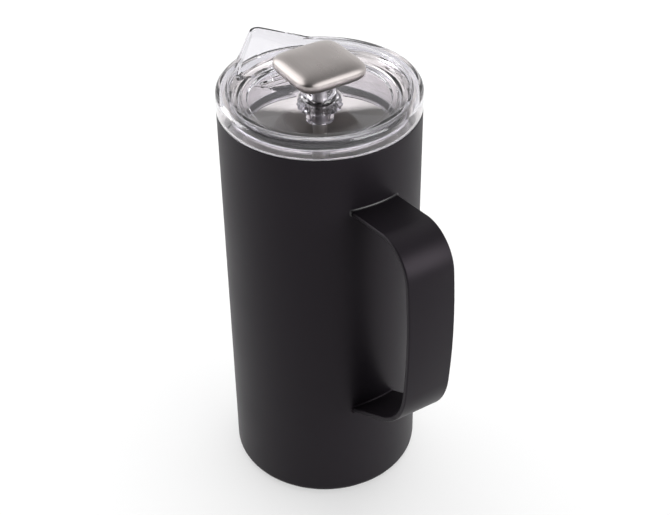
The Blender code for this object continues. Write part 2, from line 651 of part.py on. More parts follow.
def make_cross_plate(steel, parent):
    top = CROSS_Z + CROSS_WALL
    disc = [(BORE, CROSS_Z), (CROSS_RADIUS, CROSS_Z), (CROSS_RADIUS, top), (BORE, top)]
    plate = object_from(turned(disc, BODY_SEGMENTS // 4 * 3), "cross_plate", steel, parent)
    outer = CROSS_RADIUS - CROSS_RIM
    hub = NUT_RADIUS + CROSS_HUB
    windows = bmesh.new()
    for quarter in range(4):
        turn = math.tau * quarter / 4
        start = math.asin(CROSS_ARM / 2 / outer)
        end = math.asin(CROSS_ARM / 2 / hub)
        rim = [(outer, start + (math.pi / 2 - 2 * start) * i / 6) for i in range(7)]
        core = [(hub, math.pi / 2 - end - (math.pi / 2 - 2 * end) * i / 3) for i in range(4)]
        ring = [windows.verts.new((r * math.cos(a + turn), r * math.sin(a + turn), CROSS_Z - MM))
                for r, a in rim + core]
        face = windows.faces.new(ring)
        lifted = bmesh.ops.extrude_face_region(windows, geom=[face])
        verts = [v for v in lifted["geom"] if isinstance(v, bmesh.types.BMVert)]
        bmesh.ops.translate(windows, vec=(0, 0, CROSS_WALL + 2 * MM), verts=verts)
    boolean(plate, cutter(windows, "cut_cross_windows"), "DIFFERENCE")


def make_filter_nut(steel, parent):
    wall_low = NUT_BOTTOM + NUT_FLOOR - GAP
    top = NUT_BOTTOM + NUT_HEIGHT
    nut = [(0, NUT_BOTTOM), (NUT_RADIUS, NUT_BOTTOM), (NUT_RADIUS, top), (BORE, top),
           (BORE, wall_low), (0, wall_low)]
    object_from(turned(nut, SMALL_SEGMENTS), "filter_nut", steel, parent)


# ---------------------------------------------------------------- assembly
def build():
    clear_scene()
    coat = finish_material("black_powder_coat", (0.022, 0.021, 0.022), 0.5)
    satin = finish_material("satin_steel", (0.62, 0.60, 0.58), 0.3, 1.0)
    brushed = finish_material("brushed_steel", (0.66, 0.63, 0.61), 0.32, 1.0)
    wire = finish_material("woven_steel", (0.55, 0.54, 0.53), 0.4, 1.0)
    pressed = finish_material("pressed_steel", (0.58, 0.57, 0.56), 0.35, 1.0)
    brass = finish_material("brass", (0.72, 0.53, 0.25), 0.35, 1.0)
    clear = finish_material("clear_plastic", (0.93, 0.93, 0.95), 0.05, 0.0, 1.0)
    silicone = finish_material("grey_silicone", (0.09, 0.085, 0.10), 0.6)
    black_rubber = finish_material("black_rubber", (0.02, 0.02, 0.02), 0.5)

    lid_lift = axis_empty("lid_lift_axis", RIM)
    lid_turn = axis_empty("lid_turn_axis", RIM, lid_lift)
    plunger_turn = axis_empty("plunger_turn_axis", BOSS_TOP_Z, lid_turn)
    plunge = axis_empty("plunge_axis", BOSS_TOP_Z, plunger_turn)

    make_outer_shell(coat)
    make_inner_liner(satin)
    make_base(pressed, coat)
    make_handle(coat)
    make_gasket(silicone, lid_lift)
    make_lid(clear, lid_turn)
    make_retainer(clear, lid_turn)
    make_rod_seal(black_rubber, plunger_turn)
    make_knob(brushed, brass, plunge)
    make_rod(satin, plunge)
    make_collar(satin, plunge)
    make_spiral_plate(pressed, plunge)
    make_spring(wire, plunge)
    make_screen(wire, plunge)
    make_cross_plate(pressed, plunge)
    make_filter_nut(satin, plunge)


build()
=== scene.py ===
# %% [markdown]
# # A double-wall french press
#
# This press is a straight steel flask in black powder coat with one bent strap for a handle. A
# clear moulded lid plugs its mouth, and a steel rod with a rounded square knob slides through the
# lid and carries the filter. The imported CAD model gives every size. Here each visible piece is
# made again with finer curves, and gets a finish made only from procedural nodes.

# %% Load the frame
import math

import bmesh
import bpy
from mathutils import Matrix, Vector


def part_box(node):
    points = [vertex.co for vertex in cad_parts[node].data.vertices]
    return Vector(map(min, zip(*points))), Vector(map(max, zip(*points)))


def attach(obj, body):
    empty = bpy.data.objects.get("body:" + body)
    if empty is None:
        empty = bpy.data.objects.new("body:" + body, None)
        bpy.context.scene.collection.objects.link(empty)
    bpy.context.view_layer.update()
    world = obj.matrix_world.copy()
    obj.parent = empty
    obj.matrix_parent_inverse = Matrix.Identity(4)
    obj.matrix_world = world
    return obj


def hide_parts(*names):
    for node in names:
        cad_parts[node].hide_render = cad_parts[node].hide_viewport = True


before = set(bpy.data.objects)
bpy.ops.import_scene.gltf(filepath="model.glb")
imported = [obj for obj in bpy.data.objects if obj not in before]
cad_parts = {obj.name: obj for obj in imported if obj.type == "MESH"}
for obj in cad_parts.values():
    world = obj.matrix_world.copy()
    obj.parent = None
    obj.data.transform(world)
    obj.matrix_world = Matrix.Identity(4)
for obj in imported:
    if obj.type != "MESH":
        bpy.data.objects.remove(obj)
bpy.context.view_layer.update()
MM = 0.001

# %% [markdown]
# ## Measuring the CAD model
#
# Nearly every piece is turned about one upright axis, so three numbers say where it is: its
# radius, its foot and its top. They are read from the CAD nodes, in millimetres, so that the
# finer pieces land exactly where the frame has them.

# %% Measure
def measure(node):
    """Radius, foot and top of a CAD node on the shared axis, in millimetres."""
    low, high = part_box(node)
    return high.y / MM, low.z / MM, high.z / MM


BODY, FOOT, RIM = measure("outer_shell")
print(f"body radius {BODY:.1f}, rim at {RIM:.1f} mm")

# %% [markdown]
# ## Making meshes
#
# A turned piece could be a Screw modifier on a profile curve. Here the profile is a short list of
# corners, each with its own fillet, because that is how a drawing for a lathe gives them, and the
# rings of points are made in code. It gives even quads, which shade smoothly. The larger the
# piece, the more points go round it.

# %% Profile with fillets
def rounded(corners, steps=5):
    """Turn (x, y, fillet) corners of a closed outline into points, with an arc at each fillet."""
    points = []
    for i, (x, y, fillet) in enumerate(corners):
        if fillet <= 0:
            points.append((x, y))
            continue
        here = Vector((x, y))
        back = Vector(corners[i - 1][:2]) - here
        ahead = Vector(corners[(i + 1) % len(corners)][:2]) - here
        half = back.angle(ahead) / 2
        reach = min(fillet / math.tan(half), back.length * 0.48, ahead.length * 0.48)
        radius = reach * math.tan(half)
        inward = (back.normalized() + ahead.normalized()).normalized()
        middle = here + inward * (radius / math.sin(half))
        start = here + back.normalized() * reach - middle
        end = here + ahead.normalized() * reach - middle
        sweep = start.angle(end)
        for k in range(steps + 1):
            t = k / steps
            spoke = start * math.sin((1 - t) * sweep) + end * math.sin(t * sweep)
            points.append(tuple(middle + spoke / math.sin(sweep)))
    return points


AROUND_BODY, AROUND_PLATE, AROUND_KNOB, AROUND_ROD = 192, 160, 144, 64


def turned(profile, steps=AROUND_PLATE):
    """Rings of points from a closed (radius, height) profile in millimetres, and their faces."""
    rings, verts, faces = [], [], []
    for radius, height in profile:
        count = 1 if radius < 1e-6 else steps
        rings.append(list(range(len(verts), len(verts) + count)))
        for i in range(count):
            turn = math.tau * i / steps
            verts.append((radius * math.cos(turn), radius * math.sin(turn), height))
    for lower, upper in zip(rings, rings[1:] + rings[:1]):
        if len(lower) == len(upper) == 1:
            continue
        for i in range(steps):
            j = (i + 1) % steps
            corners = [lower[i % len(lower)], lower[j % len(lower)],
                       upper[j % len(upper)], upper[i % len(upper)]]
            faces.append(list(dict.fromkeys(corners)))
    return verts, faces


# %% [markdown]
# ## From points to a piece
#
# Each piece is one object that rides on a CAD body and hides the CAD nodes that it stands for.
# Smooth shading with sharp edges above an angle keeps the flats flat and the fillets round.

# %% Mesh
def new_mesh(name, shape):
    """A mesh from points in millimetres and faces, with its normals turned outwards."""
    verts, faces = shape
    bm = bmesh.new()
    made = [bm.verts.new(Vector(v) * MM) for v in verts]
    for face in faces:
        bm.faces.new([made[i] for i in face])
    bmesh.ops.recalc_face_normals(bm, faces=bm.faces)
    mesh = bpy.data.meshes.new(name)
    bm.to_mesh(mesh)
    bm.free()
    return mesh


def shade(mesh, sharp):
    """Shade smoothly, but keep the edges above an angle in degrees sharp."""
    mesh.shade_smooth()
    mesh.set_sharp_from_angle(angle=math.radians(sharp))


# %% Piece
def add_object(name, data):
    obj = bpy.data.objects.new(name, data)
    bpy.context.collection.objects.link(obj)
    return obj


def piece(name, shape, body, material, stands_for=(), sharp=32):
    """Make a mesh object from millimetre points, shade it and let it ride on a body."""
    mesh = new_mesh(name, shape)
    shade(mesh, sharp)
    mesh.materials.append(material)
    obj = add_object(name, mesh)
    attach(obj, body)
    if stands_for:
        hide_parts(*stands_for)
    print(f"{name}: {len(mesh.vertices)} points")
    return obj


# %% [markdown]
# ## Finishes
#
# The same few effects come back in many finishes: a fine grain, a slow cloudiness, brushed lines
# and finger marks. Each is a node group with named inputs, built once. A group only puts out
# masks and heights. The shader itself, with its plain numbers, stays in each material.

# %% Node group helpers
def new_group(name, inputs, outputs):
    """An empty shader node group with float or vector inputs and float outputs."""
    tree = bpy.data.node_groups.new(name, "ShaderNodeTree")
    for label, value in inputs:
        kind = "NodeSocketFloat" if value is not None else "NodeSocketVector"
        socket = tree.interface.new_socket(label, in_out="INPUT", socket_type=kind)
        if value is not None:
            socket.default_value = value
    for label in outputs:
        tree.interface.new_socket(label, in_out="OUTPUT", socket_type="NodeSocketFloat")
    return tree, tree.nodes.new("NodeGroupInput"), tree.nodes.new("NodeGroupOutput")


def math_node(tree, operation, first, second=0.5, clamp=False):
    node = tree.nodes.new("ShaderNodeMath")
    node.operation = operation
    node.use_clamp = clamp
    for socket, value in zip(node.inputs, (first, second)):
        if isinstance(value, (int, float)):
            socket.default_value = value
        else:
            tree.links.new(value, socket)
    return node.outputs[0]


def split_node(tree, vector):
    """The X, Y and Z outputs of a vector."""
    node = tree.nodes.new("ShaderNodeSeparateXYZ")
    tree.links.new(vector, node.inputs[0])
    return node.outputs


def noise_node(tree, vector, scale, detail=2.0, rough=0.5):
    node = tree.nodes.new("ShaderNodeTexNoise")
    tree.links.new(vector, node.inputs["Vector"])
    if isinstance(scale, (int, float)):
        node.inputs["Scale"].default_value = scale
    else:
        tree.links.new(scale, node.inputs["Scale"])
    node.inputs["Detail"].default_value = detail
    node.inputs["Roughness"].default_value = rough
    return node.outputs["Fac"]


# %% [markdown]
# ### Grain
#
# Powder coat, silicone and moulded plastic all have a fine grain over a slow cloudiness. The
# grain is a small noise used as a height. The cloudiness is a large noise that shifts colour and
# roughness a little, so that no surface is one flat value.

# %% Grain group
grain, g_in, g_out = new_group("fine_grain", [("Vector", None), ("Grain Scale", 900.0),
                                              ("Cloud Scale", 25.0)], ["Height", "Cloud"])
g_fine = noise_node(grain, g_in.outputs["Vector"], g_in.outputs["Grain Scale"], 3.0, 0.6)
g_cloud = noise_node(grain, g_in.outputs["Vector"], g_in.outputs["Cloud Scale"], 4.0)
grain.links.new(g_fine, g_out.inputs["Height"])
grain.links.new(g_cloud, g_out.inputs["Cloud"])
print("group:", grain.name)

# %% [markdown]
# ### Brushing and turning marks
#
# Brushed steel has fine scratches that all run one way. A noise that is squeezed hard across the
# scratches and hardly along them gives that. On a turned piece the scratches run round the axis,
# so there the noise is read in radius and height and not in angle.

# %% Straight brushing group
brushed, b_in, b_out = new_group("straight_brushing", [("Vector", None), ("Across", 2600.0),
                                                       ("Along", 40.0)], ["Lines", "Cloud"])
b_split = split_node(brushed, b_in.outputs["Vector"])
b_join = brushed.nodes.new("ShaderNodeCombineXYZ")
for axis, factor in (("X", "Along"), ("Y", "Across"), ("Z", "Across")):
    scaled = math_node(brushed, "MULTIPLY", b_split[axis], b_in.outputs[factor])
    brushed.links.new(scaled, b_join.inputs[axis])
brushed.links.new(noise_node(brushed, b_join.outputs[0], 1.0, 3.0, 0.65), b_out.inputs["Lines"])
brushed.links.new(noise_node(brushed, b_in.outputs["Vector"], 60.0, 3.0), b_out.inputs["Cloud"])
print("group:", brushed.name)

# %% Turned brushing group
ARC_STRETCH = 1.5  # noise cells in a radian: the marks run far round the axis
ringed, r_in, r_out = new_group("turned_brushing", [("Vector", None), ("Across", 2600.0)],
                                ["Lines", "Cloud"])
r_split = split_node(ringed, r_in.outputs["Vector"])
r_xx = math_node(ringed, "MULTIPLY", r_split["X"], r_split["X"])
r_yy = math_node(ringed, "MULTIPLY", r_split["Y"], r_split["Y"])
r_radius = math_node(ringed, "SQRT", math_node(ringed, "ADD", r_xx, r_yy))
r_angle = math_node(ringed, "ARCTAN2", r_split["Y"], r_split["X"])
r_join = ringed.nodes.new("ShaderNodeCombineXYZ")
for axis, value, factor in (("X", r_radius, r_in.outputs["Across"]), ("Y", r_angle, ARC_STRETCH),
                            ("Z", r_split["Z"], r_in.outputs["Across"])):
    ringed.links.new(math_node(ringed, "MULTIPLY", value, factor), r_join.inputs[axis])
ringed.links.new(noise_node(ringed, r_join.outputs[0], 1.0, 3.0, 0.65), r_out.inputs["Lines"])
ringed.links.new(noise_node(ringed, r_in.outputs["Vector"], 60.0, 3.0), r_out.inputs["Cloud"])
print("group:", ringed.name)

# %% [markdown]
# ### Finger marks
#
# Polished metal and clear plastic are never perfectly clean. A stretched noise through a soft
# threshold gives a few faint patches, and they only raise the roughness.

# %% Smudge group
smudge, s_in, s_out = new_group("finger_marks", [("Vector", None), ("Size", 70.0)], ["Mask"])
s_noise = noise_node(smudge, s_in.outputs["Vector"], s_in.outputs["Size"], 5.0, 0.6)
THRESHOLD, GAIN = 0.52, 4.0
s_above = math_node(smudge, "SUBTRACT", s_noise, THRESHOLD, True)
s_mask = math_node(smudge, "MULTIPLY", s_above, GAIN, True)
smudge.links.new(s_mask, s_out.inputs["Mask"])
print("group:", smudge.name)

# %% [markdown]
# ### Building a material
#
# One helper sets the plain numbers on the Principled shader. A second places a group and hands it
# the object's own coordinates. The rest of each material is a mix of two close colours and two
# close roughness values, driven by the masks.

# %% Material helpers
def new_material(name, **plain):
    """A Principled material with plain values set directly on its sockets."""
    material = bpy.data.materials.new(name)
    material.use_nodes = True
    shader = material.node_tree.nodes["Principled BSDF"]
    for label, value in plain.items():
        shader.inputs[label.replace("_", " ")].default_value = value
    return material, material.node_tree, shader


def place(tree, group, **values):
    """Put a node group in a material, fed with object coordinates."""
    node = tree.nodes.new("ShaderNodeGroup")
    node.node_tree = group
    coords = tree.nodes.get("Texture Coordinate") or tree.nodes.new("ShaderNodeTexCoord")
    tree.links.new(coords.outputs["Object"], node.inputs["Vector"])
    for label, value in values.items():
        node.inputs[label.replace("_", " ")].default_value = value
    return node


def remap(tree, value, start, end, low=0.0, high=1.0, kind="LINEAR"):
    """Go from a low number to a high one while a value goes from its start to its end."""
    node = tree.nodes.new("ShaderNodeMapRange")
    node.interpolation_type = kind
    tree.links.new(value, node.inputs["Value"])
    for label, number in (("From Min", start), ("From Max", end), ("To Min", low),
                          ("To Max", high)):
        node.inputs[label].default_value = number
    return node.outputs[0]


def between(tree, mask, low, high, target, spread=(0.3, 0.7)):
    """Map a mask to a range of values, or of colours, and link it to a socket."""
    if not isinstance(low, tuple):
        tree.links.new(remap(tree, mask, *spread, low, high), target)
        return
    share = remap(tree, mask, *spread)
    mix = tree.nodes.new("ShaderNodeMix")
    mix.data_type = "RGBA"
    mix.inputs[6].default_value, mix.inputs[7].default_value = (*low, 1), (*high, 1)
    tree.links.new(share, mix.inputs[0])
    tree.links.new(mix.outputs[2], target)


def bump(tree, height, shader, strength, depth):
    node = tree.nodes.new("ShaderNodeBump")
    node.inputs["Strength"].default_value = strength
    node.inputs["Distance"].default_value = depth * MM
    tree.links.new(height, node.inputs["Height"])
    tree.links.new(node.outputs[0], shader.inputs["Normal"])


# %% [markdown]
# ### Black powder coat
#
# Powder coat is sprayed on dry and baked, so it has a fine dry grain and a broad soft gloss. The
# base is nearly black, and what the eye reads as grey is the light on the grain. The silicone and
# the rubber use the same helper further on.

# %% Powder coat
def grained(name, dark, light, rough, scales, relief, **plain):
    """A dull material with a fine grain and a slight cloudiness, each with its scale."""
    material, nodes, principled = new_material(name, **plain)
    texture = place(nodes, grain, Grain_Scale=scales[0], Cloud_Scale=scales[1])
    between(nodes, texture.outputs["Cloud"], dark, light, principled.inputs["Base Color"])
    between(nodes, texture.outputs["Cloud"], *rough, principled.inputs["Roughness"])
    bump(nodes, texture.outputs["Height"], principled, *relief)
    print("material:", name)
    return material


COAT_DARK, COAT_LIGHT = (0.0052, 0.0043, 0.0058), (0.0074, 0.0062, 0.0080)
COAT_SCALES = (2400.0, 18.0)
coat = grained("powder_coat", COAT_DARK, COAT_LIGHT, (0.42, 0.5), COAT_SCALES, (0.22, 0.05),
               Specular_IOR_Level=0.165, Specular_Tint=(1.0, 0.87, 1.0, 1))

# %% [markdown]
# The coat melts before it hardens. In a hollow that faces up it runs together into a smooth,
# glossier film, so the weld at the top of the strap has a second version of the coat, with less
# grain.

# %% Pooled coat
pooled = grained("pooled_powder_coat", COAT_DARK, COAT_LIGHT, (0.27, 0.32), COAT_SCALES,
                 (0.08, 0.03), Specular_IOR_Level=0.4)

# %% [markdown]
# ### Steels
#
# Five steels and a brass share the two brushing groups: the brushed knob, the satin vessel, the
# polished rod, the pressed filter plates and the drawn wire. They differ in colour, in roughness
# and in how deep the lines are. The vessel's satin finish scatters light nearly as paint does, so
# it isn't fully metallic.

# %% Steels
def steel(name, lines, dark, light, rough, relief, metal=1.0):
    """A steel whose brushed lines shift its colour and roughness and give a faint relief."""
    material, nodes, principled = new_material(name, Metallic=metal)
    marks = place(nodes, lines)
    between(nodes, marks.outputs["Lines"], dark, light, principled.inputs["Base Color"])
    smear = place(nodes, smudge, Size=55.0)
    total = math_node(nodes, "ADD", math_node(nodes, "MULTIPLY", marks.outputs["Cloud"], 0.7),
                      math_node(nodes, "MULTIPLY", smear.outputs["Mask"], 0.12))
    between(nodes, total, rough * 0.85, rough * 1.25, principled.inputs["Roughness"], (0.2, 0.6))
    bump(nodes, marks.outputs["Lines"], principled, relief, 0.02)
    print("material:", name)
    return material


# lines, dark colour, light colour, roughness, relief, and how metallic if not fully
knob_steel = steel("brushed_knob_steel", brushed,
                   (0.470, 0.430, 0.418), (0.530, 0.490, 0.474), 0.31, 0.018)
satin_steel = steel("satin_vessel_steel", ringed,
                    (0.50, 0.485, 0.455), (0.60, 0.585, 0.55), 0.36, 0.12, 0.65)
bright_steel = steel("polished_rod_steel", ringed,
                     (0.70, 0.68, 0.66), (0.80, 0.78, 0.76), 0.34, 0.06)
plate_steel = steel("pressed_plate_steel", ringed,
                    (0.54, 0.53, 0.52), (0.64, 0.63, 0.62), 0.30, 0.12)
wire_steel = steel("drawn_wire_steel", brushed,
                   (0.50, 0.49, 0.48), (0.62, 0.61, 0.60), 0.26, 0.08)
brass = steel("turned_brass", ringed, (0.62, 0.44, 0.20), (0.74, 0.56, 0.27), 0.28, 0.10)

# %% [markdown]
# ### Clear moulding, silicone and rubber
#
# The lid is one thick clear moulding, so its look is all refraction: a closed solid with real wall
# thickness and an index of 1.5 gives the bright and dark lines that a clear lid has. Faint finger
# marks and a slow waviness are its texture. A shadow ray can't bend, so refraction alone would
# leave the vessel under the lid black. For those rays the plastic is simply transparent, with a
# little tint. The gasket is a soft dark silicone, the O-ring a black rubber.

# %% Clear plastic
clear, tree, shader = new_material("clear_moulding", Base_Color=(0.80, 0.79, 0.825, 1), IOR=1.49,
                                   Transmission_Weight=1.0, Metallic=0.0)
marks = place(tree, smudge, Size=45.0)
between(tree, marks.outputs["Mask"], 0.012, 0.04, shader.inputs["Roughness"], (0.0, 1.0))
flow = place(tree, grain, Grain_Scale=70.0, Cloud_Scale=30.0)
bump(tree, flow.outputs["Height"], shader, 0.02, 0.05)
see_through = tree.nodes.new("ShaderNodeBsdfTransparent")
see_through.inputs["Color"].default_value = (0.97, 0.965, 0.975, 1)
choice = tree.nodes.new("ShaderNodeMixShader")
rays = tree.nodes.new("ShaderNodeLightPath")
tree.links.new(rays.outputs["Is Shadow Ray"], choice.inputs["Fac"])
tree.links.new(shader.outputs[0], choice.inputs[1])
tree.links.new(see_through.outputs[0], choice.inputs[2])
tree.links.new(choice.outputs[0], tree.nodes["Material Output"].inputs["Surface"])
print("material:", clear.name)

# %% Silicone and rubber
silicone = grained("grey_silicone", (0.030, 0.026, 0.034), (0.044, 0.039, 0.049), (0.45, 0.55),
                   (1500.0, 60.0), (0.25, 0.04), Specular_IOR_Level=0.4)
rubber = grained("black_rubber", (0.012, 0.012, 0.012), (0.02, 0.02, 0.02), (0.4, 0.5),
                 (1800.0, 60.0), (0.25, 0.04), Specular_IOR_Level=0.4)

# %% [markdown]
# ### Woven screen
#
# The filter cloth is plain woven steel wire, too fine to model thread by thread. Two waves at
# right angles give the warp and the weft. The larger of the two is the height, and the low spots
# between the wires get a painted shade, nearly black, in place of the openings and their shade.

# %% Weave group
weave, w_in, w_out = new_group("plain_weave", [("Vector", None), ("Pitch", 4200.0)],
                               ["Height", "Gap Shade"])
w_split = split_node(weave, w_in.outputs["Vector"])
w_waves = []
for axis in ("X", "Y"):
    phase = math_node(weave, "MULTIPLY", w_split[axis], w_in.outputs["Pitch"])
    wave = math_node(weave, "SINE", phase, 0.0)
    w_waves.append(math_node(weave, "ABSOLUTE", wave, 0.0))
w_height = math_node(weave, "MAXIMUM", w_waves[0], w_waves[1])
weave.links.new(w_height, w_out.inputs["Height"])
# The gap mask marks the low spots between the wires, where the screen's finish paints shade
w_gap_shade = math_node(weave, "SUBTRACT", 1.0, w_height)
weave.links.new(math_node(weave, "MULTIPLY", w_gap_shade, 2.2, True), w_out.inputs["Gap Shade"])
print("group:", weave.name)

# %% Woven screen steel
mesh_steel, tree, shader = new_material("woven_screen_steel", Metallic=1.0)
node = place(tree, weave)
# Painted shade: the base colour falls to near black in the gaps between the wires
between(tree, node.outputs["Gap Shade"], (0.58, 0.57, 0.56), (0.05, 0.05, 0.05),
        shader.inputs["Base Color"], (0.2, 0.9))
between(tree, node.outputs["Gap Shade"], 0.3, 0.7, shader.inputs["Roughness"], (0.2, 0.9))
bump(tree, node.outputs["Height"], shader, 0.6, 0.15)
print("material:", mesh_steel.name)

# %% [markdown]
# ## The carafe
#
# The outer shell is a drawn tube with its foot rolled in under the base. The liner flares to meet
# it at the rim. Both are turned profiles with a real wall, so that light through the clear lid
# finds a true inside.

# %% Shell and liner
WALL, SHELL_CORNER, LIP = 0.8, 5.0, 9.0
inside, lip_edge = BODY - WALL, BODY - LIP
shell_outline = rounded([
    (BODY, RIM, 0.25), (BODY, FOOT, SHELL_CORNER), (lip_edge, FOOT, 0.3),
    (lip_edge, FOOT + WALL, 0.3), (inside, FOOT + WALL, SHELL_CORNER - WALL),
    (inside, RIM, 0.25)], 10)
piece("coated_shell", turned(shell_outline, AROUND_BODY), "carafe", coat, ["outer_shell"])

LINER_EDGE, LINER_FOOT, LINER_RIM = measure("inner_liner")
VESSEL, VESSEL_CORNER = 45.0, 8.0
OUTSIDE, UNDER_RIM = VESSEL + WALL, LINER_RIM - WALL
liner_outline = rounded([
    (0, LINER_FOOT + WALL, 0), (VESSEL, LINER_FOOT + WALL, VESSEL_CORNER),
    (VESSEL, LINER_RIM, 2.0), (LINER_EDGE, LINER_RIM, 0.2), (LINER_EDGE, UNDER_RIM, 0.2),
    (OUTSIDE, UNDER_RIM, 1.2), (OUTSIDE, LINER_FOOT, VESSEL_CORNER + WALL),
    (0, LINER_FOOT, 0)], 10)
piece("vessel_liner", turned(liner_outline, AROUND_BODY), "carafe", satin_steel, ["inner_liner"])

# %% [markdown]
# ### Base
#
# The underside is a flat disc in the same coat. The plate that closes the vacuum space, its seal
# and the getter pill are inside, where nothing shows, as is the nut in the knob. So these four CAD
# nodes stay and only get a finish.

# %% Base
DISC, DISC_FOOT, DISC_TOP = measure("base_cover")
disc_outline = rounded([(0, DISC_FOOT, 0), (DISC, DISC_FOOT, 0.25), (DISC, DISC_TOP, 0.25),
                        (0, DISC_TOP, 0)], 4)
piece("stand_disc", turned(disc_outline), "carafe", coat, ["base_cover"])

# %% Finishes of the hidden pieces
HIDDEN = {"base_plate": plate_steel, "seal_bead": plate_steel, "getter_pill": plate_steel,
          "knob_nut": brass}
for node_name, material in HIDDEN.items():
    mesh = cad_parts[node_name].data
    mesh.materials.clear()
    mesh.materials.append(material)
print("CAD pieces with a new finish:", len(HIDDEN))

# %% [markdown]
# ## The strap handle
#
# The handle is one flat bar of steel, bent in side view and welded to the shell at both ends. A
# curve with a bevel object could make it. Sweeping a rounded section in code makes it easy to end
# each run exactly on the round wall. The path repeats the bends of the CAD strap: a short rise, a
# tight bend, a nearly straight grip and a wide bend back.

# %% Strap path
STRAP_WIDE, STRAP_THICK, STRAP_EDGE = 26.0, 2.6, 0.8
STRAP_TOP, STRAP_RUN, STRAP_RISE = RIM - 29.6, 28.4, 6.6
BENDS = ((20.5, -83.8, 22), (315.0, -96.2, 12), (38.7, -150.0, 20))  # radius, last heading, points


def strap_path():
    """Points (x, z, heading) along the outer face, headings in radians."""
    heading = math.radians(STRAP_RISE)
    start = BODY - 5.0
    path = [(start, STRAP_TOP, heading)]
    x = start + STRAP_RUN * math.cos(heading)
    z = STRAP_TOP + STRAP_RUN * math.sin(heading)
    for number, (radius, target, steps) in enumerate(BENDS, 1):
        middle_x = x + radius * math.sin(heading)
        middle_z = z - radius * math.cos(heading)
        end = math.radians(target)
        for i in range(steps + (number == len(BENDS))):
            turn = heading + (end - heading) * i / steps
            path.append((middle_x - radius * math.sin(turn),
                         middle_z + radius * math.cos(turn), turn))
        x = middle_x - radius * math.sin(end)
        z = middle_z + radius * math.cos(end)
        heading = end
    reach = (x - start) / -math.cos(heading)
    path.append((start, z + reach * math.sin(heading), heading))
    return path


strap_line = strap_path()
print("strap points:", len(strap_line), "reach:", round(max(p[0] for p in strap_line), 2), "mm")

# %% [markdown]
# The section is a rounded rectangle. At the two ends each point slides along the strap until it
# meets the shell, so the end follows the curve of the wall, a little way into it.

# %% Strap section
half = STRAP_WIDE / 2
section = rounded([(-half, 0, STRAP_EDGE), (half, 0, STRAP_EDGE),
                   (half, -STRAP_THICK, STRAP_EDGE), (-half, -STRAP_THICK, STRAP_EDGE)], 4)


def strap_point(x, z, heading, across, depth):
    """A point of the section, across the strap and below its outer face."""
    return Vector((x - depth * math.sin(heading), across, z + depth * math.cos(heading)))


def to_wall(point, heading, radius):
    """Slide a point along the strap until it is on a cylinder about the body's axis."""
    x = math.sqrt(radius ** 2 - point.y ** 2)
    return Vector((x, point.y, point.z + (x - point.x) * math.tan(heading)))


# %% Faces between rings
def quads(rings, count, closed=False):
    """Faces between rings of equally many points, and back to the first ring if closed."""
    return [[a + i, a + (i + 1) % count, b + (i + 1) % count, b + i]
            for a, b in ((r * count, (r + 1) % rings * count)
                         for r in range(rings if closed else rings - 1))
            for i in range(count)]


# %% Strap
strap_verts = []
count = len(section)
for index, (x, z, heading) in enumerate(strap_line):
    for across, depth in section:
        point = strap_point(x, z, heading, across, depth)
        if index in (0, len(strap_line) - 1):
            point = to_wall(point, heading, BODY - 0.4)
        strap_verts.append(point)
strap_faces = quads(len(strap_line), count)
strap_faces.append(list(range(count)))
strap_faces.append(list(range(len(strap_verts) - count, len(strap_verts))))
piece("strap_handle", (strap_verts, strap_faces), "carafe", coat, ["handle_strap"],
      40)

# %% [markdown]
# ### Welds
#
# The coat runs over the weld at each end, so it shows as a small hollow fillet that catches a
# thin line of light. It is a strip with a concave section: one edge lies on the shell, the other
# on the strap, and the back is buried in the corner. Its outline has many points along the long
# sides, because a straight line between the corners would sink into the round wall.

# %% Outline with more points
def filled_in(outline, spacing=1.5):
    """Add points along the long sides of an outline, so that it can follow a round wall."""
    points = []
    for i, here in enumerate(outline):
        here, ahead = Vector(here), Vector(outline[(i + 1) % len(outline)])
        parts = max(1, round((ahead - here).length / spacing))
        points += [here.lerp(ahead, k / parts) for k in range(parts)]
    return points


# %% Welds
ARC_STEPS, BURIED, PROUD, SIDEWAYS = 5, 0.3, 0.02, 0.3


def weld(name, material, x, z, heading, upper, lower):
    """A fillet round the section where the strap meets the shell, with a size for each side."""
    verts = []
    edge = filled_in(section)
    for i, (across, depth) in enumerate(edge):
        before, after = edge[i - 1], edge[(i + 1) % len(edge)]
        outward = Vector((after[1] - before[1], before[0] - after[0])).normalized()
        if outward.dot(Vector((across, depth + STRAP_THICK / 2))) < 0:
            outward = -outward
        size = upper if outward.y > SIDEWAYS else lower
        size = size if abs(outward.y) > SIDEWAYS else min(upper, lower)
        corner = to_wall(strap_point(x, z, heading, across, depth), heading, BODY)
        wall_out = Vector((corner.x, corner.y, 0)).normalized()
        strap_out = Vector((-outward.y * math.sin(heading), outward.x,
                            outward.y * math.cos(heading))).normalized()
        climb = (strap_out - wall_out * strap_out.dot(wall_out)).normalized()
        verts.append(corner - wall_out * BURIED - climb * BURIED)
        for k in range(ARC_STEPS + 1):
            turn = math.pi / 2 * k / ARC_STEPS
            verts.append(corner + climb * size * (1 - math.sin(turn)) +
                         wall_out * size * (1 - math.cos(turn)) + (strap_out + wall_out) * PROUD)
    faces = quads(len(edge), ARC_STEPS + 2, True)
    return piece(name, (verts, faces), "carafe", material, (), 50)


weld("weld_top", pooled, *strap_line[0], 1.0, 0.8)
weld("weld_bottom", coat, *strap_line[-1], 0.8, 1.2)

# %% [markdown]
# ## The clear lid
#
# The lid is one moulding: a hollow ring that sits on the rim, a stepped cove, a flat floor, a tall
# boss for the rod, and a plug skirt with a groove for the gasket. It is turned first. The beak is
# joined on, then its chute and the pour slots are cut, with exact booleans, as a toolmaker would
# split the mould.

